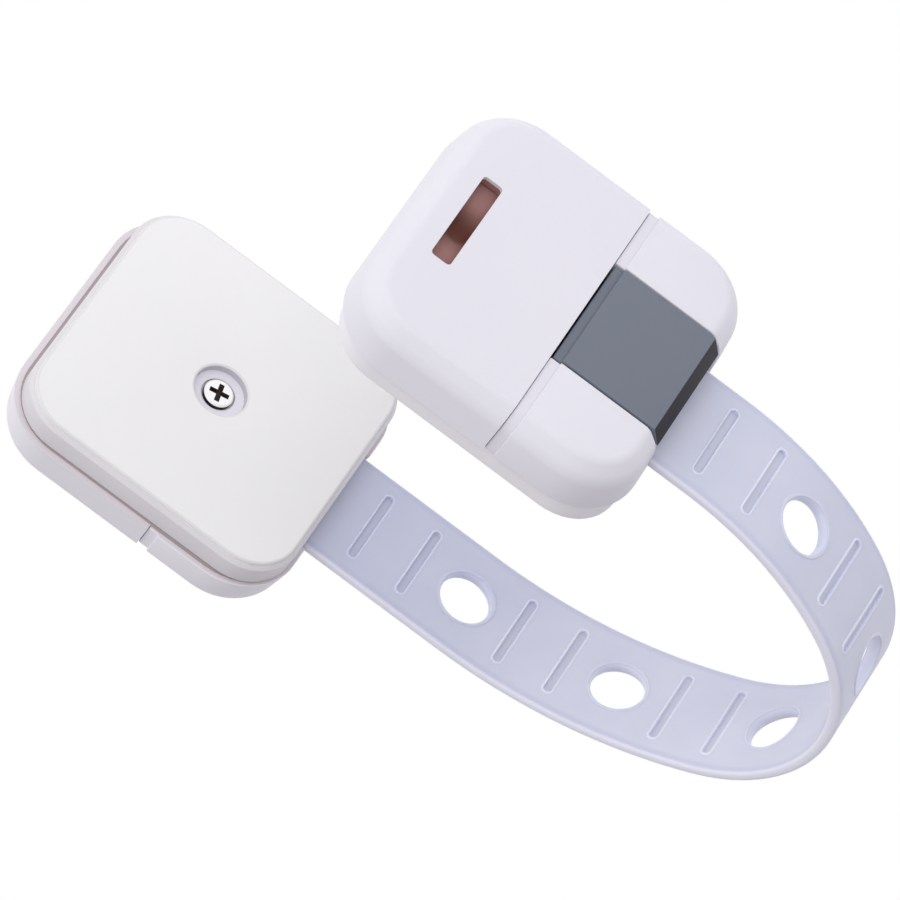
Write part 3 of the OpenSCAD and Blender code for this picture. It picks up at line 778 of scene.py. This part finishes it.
# Release buttons: mid-grey matt moulded rockers with a lowered strip along the parting line and a
# raked end painted dark as shade, carried by a hub on the pivot pin. An arm reaches back to the peg
# in the strap's hole.
button_half = 9.4
pad_end = 20.55
end_lean = 1.8
pad_low_z = 9.9
button_soft = 0.2
hub_x = 4.2
hub_end = 9.8
hub_low = 6.95
arm_half = 4.2
arm_lap = 1
arm_height = 1
peg_x = -4.3
peg_low = 5.2
peg_r = 3.2
spring_seat = 7.8
button_grey = plastic("button_plastic", (0.152, 0.172, 0.215), roughness=0.5, grain=0.35, mottle=0.03)
raked_end_shade = plastic("button_end_painted_shade", (0.045, 0.045, 0.053), roughness=0.6, grain=0.35, mottle=0.05,
                      shine=0.08)
for side in places:
    bm = block(strip_x, pad_end, -button_half, button_half, pad_low_z, front_z)
    lower_end = [v for v in bm.verts if v.co.x > pad_end - 1 and v.co.z < pad_low_z + 1]
    bmesh.ops.translate(bm, verts=lower_end, vec=(end_lean, 0, 0))
    soften(bm, button_soft, 3)
    looks = [button_grey, raked_end_shade]
    # The raked end's faces get the dark painted shade.
    for f in bm.faces:
        if f.normal.x > 0.7:
            f.material_index = looks.index(raked_end_shade)
    hub = block(hub_x, hub_end, -button_half, button_half, hub_low, front_z - strip_depth)
    soften(hub, button_soft, 3)
    add(bm, hub)
    arm = block(peg_x, hub_x + arm_lap, -arm_half, arm_half, hub_low, spring_seat)
    soften(arm, button_soft)
    add(bm, arm)
    add(bm, post(peg_x, 0, hub_low, hub_low + arm_height, arm_half))
    add(bm, post(peg_x, 0, peg_low, hub_low + root, peg_r))
    button = piece(side + "_button", bm, places[side], looks)
    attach(button, side + "_button")
    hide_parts(side + "_release_button")

# Pivot pins and return springs: drawn steel pins carry the buttons and keep the imported shape. Small
# coiled springs of drawn wire sit between each button's arm and the cover's roof.
spring_x = 1.3
spring_low = 7.857
spring_high = 10.844
spring_wire = 0.4
coil_radius = 1.6
turns = 3
steps_per_turn = 32
wire_sides = 12
wire = metal("drawn_wire", metallic=1, scale=900, detail=4, gloss=(0.2, 0.4),
             dull=(0.50, 0.51, 0.54), bright=(0.66, 0.67, 0.70))
for side in places:
    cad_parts[side + "_pivot_pin"].material_slots[0].material = wire
    bm = bmesh.new()
    upright = Matrix.Rotation(pi / 2, 4, "X")
    start = Matrix.Translation((spring_x + coil_radius, 0, spring_low + spring_wire / 2))
    bmesh.ops.create_circle(bm, segments=wire_sides, radius=spring_wire / 2, matrix=start @ upright)
    steps = turns * steps_per_turn
    climb = (spring_high - spring_low - spring_wire) / steps
    bmesh.ops.spin(bm, geom=bm.verts[:] + bm.edges[:], cent=(spring_x, 0, 0), axis=(0, 0, 1),
                   dvec=(0, 0, climb), angle=2 * pi * turns, steps=steps)
    ends = [e for e in bm.edges if e.is_boundary]
    for low in (True, False):
        loop = [e for e in ends if (e.verts[0].co.z < (spring_low + spring_high) / 2) == low]
        bmesh.ops.edgeloop_fill(bm, edges=loop)
    spring = piece(side + "_spring", bm, places[side], [wire])
    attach(spring, side + "_lock")
    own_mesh(spring)
    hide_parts(side + "_return_spring")

# Strap: one moulded strip of translucent lilac elastomer with a peg hole at every third step and lipped
# flex grooves between, but plain between the two holes at the bend. It is drawn flat, and then bent
# round the loop from one block to the other.
lower_straight = 22.8
lower_radius = 65
lower_turn = radians(35)
bend_radius = 24.55
bend_turn = radians(109)
upper_radius = 45
upper_turn = pi - lower_turn - bend_turn
upper_straight = 6
tail = 41.4
peg_setback = 27.4
strap_half = 9.15
strap_t = 0.85
strap_mid = 5.55
end_corner = 2
edge_round = 0.6
edge_steps = 4
loop_steps = 24
hole_every = 3
plain_steps = (13, 14)
mouth_clear = 7.2
hole_reach = 5
hole_profile = (
    (4.55, strap_t),
    (4.4, strap_t + 0.13),
    (4.12, strap_t + 0.13),
    (3.97, strap_t - 0.08),
    (3.85, strap_t - 0.4),
    (3.8, 0),
)
groove_half = 0.95
groove_reach = 5.6
groove_wall = 0.06
groove_depth = 0.45
lip_steps = 24
lip_width = 0.16
lip_height = 0.14
lip_highlight_look = 1
groove_shade_look = 2
bend_slices = 110
# The darker lilac serves both the cloudy tone and the painted shade on the upper run.
dense_and_shaded_lilac = (0.60, 0.62, 0.745)
pale_lilac = (0.76, 0.765, 0.86)
mouth_shadow_blue = (0.44, 0.475, 0.65)
border_shade_lilac = (0.47, 0.475, 0.66)
edge_highlight_pale = (0.80, 0.80, 0.885)
s_lower = lower_straight + lower_radius * lower_turn
s_bend = s_lower + bend_radius * bend_turn
s_upper = s_bend + upper_radius * upper_turn
s_end = s_upper + upper_straight
pitch = (s_end + 2 * peg_setback) / loop_steps


def turned(point, heading, radius, turn):
    """Point reached by turning left from a point and heading."""
    x = point[0] + radius * (sin(heading + turn) - sin(heading))
    y = point[1] + radius * (cos(heading) - cos(heading + turn))
    return (x, y)


p_lower = (lower_straight, 0)
p_bend = turned(p_lower, 0, lower_radius, lower_turn)
p_upper = turned(p_bend, lower_turn, bend_radius, bend_turn)
p_straight = turned(p_upper, lower_turn + bend_turn, upper_radius, upper_turn)


def route(s):
    """Point and heading of the strap's middle line, s millimetres from the lower mouth."""
    if s < lower_straight:
        return (s, 0), 0
    if s < s_lower:
        turn = (s - lower_straight) / lower_radius
        return turned(p_lower, 0, lower_radius, turn), turn
    if s < s_bend:
        turn = (s - s_lower) / bend_radius
        return turned(p_bend, lower_turn, bend_radius, turn), lower_turn + turn
    if s < s_upper:
        turn = (s - s_bend) / upper_radius
        return turned(p_upper, lower_turn + bend_turn, upper_radius, turn), lower_turn + bend_turn + turn
    return (p_straight[0] - (s - s_upper), p_straight[1]), pi


bm = bmesh.new()
rims = []
for step in range(-1, loop_steps + 2):
    s = step * pitch - peg_setback
    is_hole = step % hole_every == 0
    at_mouth = min(abs(s), abs(s - s_end)) < mouth_clear
    if step in plain_steps or is_hole and at_mouth:
        continue
    if is_hole:
        verts = [bmesh.ops.create_vert(bm, co=(s + r, 0, w))["vert"][0] for r, w in hole_profile]
        edges = [bm.edges.new(pair) for pair in zip(verts, verts[1:])]
        bmesh.ops.spin(bm, geom=verts + edges, cent=(s, 0, 0), axis=(0, 0, 1), angle=2 * pi, steps=40,
                       use_merge=True)
        # The hole's walls get the lighter lip copy: painted light against their shade.
        for f in bm.faces:
            c = f.calc_center_median()
            if abs(c.x - s) < hole_reach and c.z < strap_t:
                f.material_index = lip_highlight_look
        for e in bm.edges:
            on_face = min(v.co.z for v in e.verts) > strap_t - hair
            if e.is_boundary and on_face and abs(e.verts[0].co.x - s) < hole_reach:
                rims.append(e)
    else:
        lip = bmesh.new()
        half_step = Matrix.Rotation(pi / lip_steps, 4, "Z")
        bmesh.ops.create_circle(lip, cap_ends=True, segments=lip_steps, radius=groove_half,
                                matrix=Matrix.Translation((s, 0, strap_t)) @ half_step)
        for sign in (-1, 1):
            moved = [v for v in lip.verts if v.co.y * sign > 0 and abs(v.co.y) <= groove_half]
            bmesh.ops.translate(lip, verts=moved, vec=(0, sign * groove_reach, 0))
        rise(lip, lip_width, lip_height)
        rise(lip, lip_width, 0)
        floor_face = max(lip.faces, key=lambda f: f.calc_area())
        bmesh.ops.inset_region(lip, faces=[floor_face], thickness=groove_wall, depth=-groove_depth,
                               use_even_offset=True)
        # Lips get the lighter copy, a painted highlight; the groove floor gets the darker copy, painted
        # shade.
        for f in lip.faces:
            f.material_index = lip_highlight_look
        floor_face.material_index = groove_shade_look
        add(bm, lip)
        for e in bm.edges:
            on_face = max(v.co.z for v in e.verts) < strap_t + hair
            if e.is_boundary and on_face and abs(e.verts[0].co.x - s) < groove_half + lip_width:
                rims.append(e)
outline = bmesh.new()
strap_reach = s_end / 2 + tail
size = Matrix.Diagonal((strap_reach - edge_round, strap_half - edge_round, 1, 1))
bmesh.ops.create_grid(outline, x_segments=1, y_segments=1, size=1,
                      matrix=Matrix.Translation((s_end / 2, 0, strap_t)) @ size)
bmesh.ops.bevel(outline, geom=outline.verts[:], offset=end_corner, offset_type="OFFSET", segments=6,
                profile=0.5, affect="VERTICES")
bmesh.ops.delete(outline, geom=outline.faces[:], context="FACES_ONLY")
add(bm, outline)
border = [e for e in bm.edges if e.is_wire]
bmesh.ops.triangle_fill(bm, use_beauty=True, edges=border + rims)
edge_profile = []
for i in range(1, edge_steps + 1):
    angle = pi / 2 * i / edge_steps
    edge_profile.append((edge_round * (1 - sin(angle)), strap_t - edge_round * (1 - cos(angle))))
edge_profile.append((0, 0))
inset = edge_round
height = strap_t
for next_inset, next_height in edge_profile:
    made = bmesh.ops.extrude_edge_only(bm, edges=border)
    moved = moved_verts(made)
    border = moved_edges(made)
    along = (strap_reach - next_inset) / (strap_reach - inset)
    across = (strap_half - next_inset) / (strap_half - inset)
    bmesh.ops.scale(bm, verts=moved, vec=(along, across, 1), space=Matrix.Translation((-s_end / 2, 0, 0)))
    bmesh.ops.translate(bm, verts=moved, vec=(0, 0, next_height - height))
    inset = next_inset
    height = next_height
bmesh.ops.mirror(bm, geom=bm.verts[:] + bm.edges[:] + bm.faces[:], axis="Z", merge_dist=hair)
bmesh.ops.remove_doubles(bm, verts=bm.verts[:], dist=hair)
for i in range(bend_slices + 1):
    s = lower_straight + (s_upper - lower_straight) * i / bend_slices
    bmesh.ops.bisect_plane(bm, geom=bm.verts[:] + bm.edges[:] + bm.faces[:], dist=0.0001,
                           plane_co=(s, 0, 0), plane_no=(1, 0, 0))
for v in bm.verts:
    (x, y), heading = route(v.co.x)
    v.co = (x - v.co.z * sin(heading), y + v.co.z * cos(heading), v.co.y)
mouth = lower_spot + Vector((half, -strap_mid, 0)) * mm
strap_edge = strap_half * mm


def elastomer(name, gain):
    """Translucent elastomer: cloudy in tone, with painted shade on the upper run, a painted shadow near
    the lower mouth and painted shade along both borders, and a painted highlight on its outermost edges."""
    cloud_scale = 70
    upper_shade_run = (-0.006, 0.022)
    upper_shade_share = 0.42
    mouth_shadow_run = (0.004, 0.055)
    mouth_shadow_share = 0.42
    border_shade_run = (strap_edge - 0.0015, strap_edge - 0.0007)
    border_shade_share = 0.32
    edge_highlight_run = (strap_edge - 0.0005, strap_edge - 0.0001)
    edge_highlight_share = 0.9
    grain_scale = 1500
    grain_depth = 0.00005
    gloss_range = (0.34, 0.48)
    look = bpy.data.materials.new(name)
    look.use_nodes = True
    tree = look.node_tree
    nodes = tree.nodes
    links = tree.links
    shader = nodes["Principled BSDF"]
    where = nodes.new("ShaderNodeTexCoord")
    clouds = nodes.new("ShaderNodeTexNoise")
    clouds.inputs["Scale"].default_value = cloud_scale
    clouds.inputs["Detail"].default_value = 3
    links.new(where.outputs["Object"], clouds.inputs["Vector"])
    axes = nodes.new("ShaderNodeSeparateXYZ")
    links.new(where.outputs["Object"], axes.inputs["Vector"])
    # Painted shade on the upper run: the tone is pushed towards the darker lilac there.
    upper_shade = smooth_step(tree, axes.outputs["Y"], *upper_shade_run, 0, upper_shade_share)
    cloud_less_shade = nodes.new("ShaderNodeMath")
    cloud_less_shade.operation = "SUBTRACT"
    links.new(clouds.outputs["Fac"], cloud_less_shade.inputs[0])
    links.new(upper_shade, cloud_less_shade.inputs[1])
    tone = nodes.new("ShaderNodeMix")
    tone.data_type = "RGBA"
    tone.inputs["A"].default_value = (*[c * gain for c in dense_and_shaded_lilac], 1)
    tone.inputs["B"].default_value = (*[c * gain for c in pale_lilac], 1)
    links.new(cloud_less_shade.outputs["Value"], tone.inputs["Factor"])
    # Painted shadow of the lower block on the strap near the lower mouth.
    away = nodes.new("ShaderNodeVectorMath")
    away.operation = "DISTANCE"
    away.inputs[1].default_value = mouth
    links.new(where.outputs["Object"], away.inputs[0])
    mouth_shadow = smooth_step(tree, away.outputs["Value"], *mouth_shadow_run, mouth_shadow_share, 0)
    colour = laid_over(tree, mouth_shadow, tone.outputs["Result"], [c * gain for c in mouth_shadow_blue])
    # Painted shade along both borders, and a painted highlight on the outermost edges.
    width = off_middle(tree, axes.outputs["Z"], mouth.z)
    border_shade = smooth_step(tree, width, *border_shade_run, 0, border_shade_share)
    colour = laid_over(tree, border_shade, colour, [c * gain for c in border_shade_lilac])
    edge_highlight = smooth_step(tree, width, *edge_highlight_run, 0, edge_highlight_share)
    colour = laid_over(tree, edge_highlight, colour, edge_highlight_pale)
    links.new(colour, shader.inputs["Base Color"])
    speckle = nodes.new("ShaderNodeTexNoise")
    speckle.inputs["Scale"].default_value = grain_scale
    links.new(where.outputs["Object"], speckle.inputs["Vector"])
    gloss = nodes.new("ShaderNodeMapRange")
    gloss.inputs["To Min"].default_value = gloss_range[0]
    gloss.inputs["To Max"].default_value = gloss_range[1]
    links.new(speckle.outputs["Fac"], gloss.inputs["Value"])
    links.new(gloss.outputs["Result"], shader.inputs["Roughness"])
    bump = nodes.new("ShaderNodeBump")
    bump.inputs["Strength"].default_value = 0.15
    bump.inputs["Distance"].default_value = grain_depth
    links.new(speckle.outputs["Fac"], bump.inputs["Height"])
    links.new(bump.outputs["Normal"], shader.inputs["Normal"])
    shader.inputs["Subsurface Weight"].default_value = 0.5
    shader.inputs["Subsurface Scale"].default_value = 0.0008
    shader.inputs["Subsurface Radius"].default_value = (1, 1, 1.3)
    return look


# Three copies of one elastomer: plain, lighter for lips and hole walls (painted highlight), and darker for
# groove floors (painted shade).
looks = [elastomer("strap_elastomer", 1), elastomer("strap_lip_highlight", 1.13), elastomer("strap_groove_shade", 0.93)]
strap = piece("strap", bm, Matrix.Translation(mouth) @ Matrix.Scale(mm, 4), looks)
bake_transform(strap)
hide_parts("strap_lower_run", "strap_bend", "strap_upper_run")
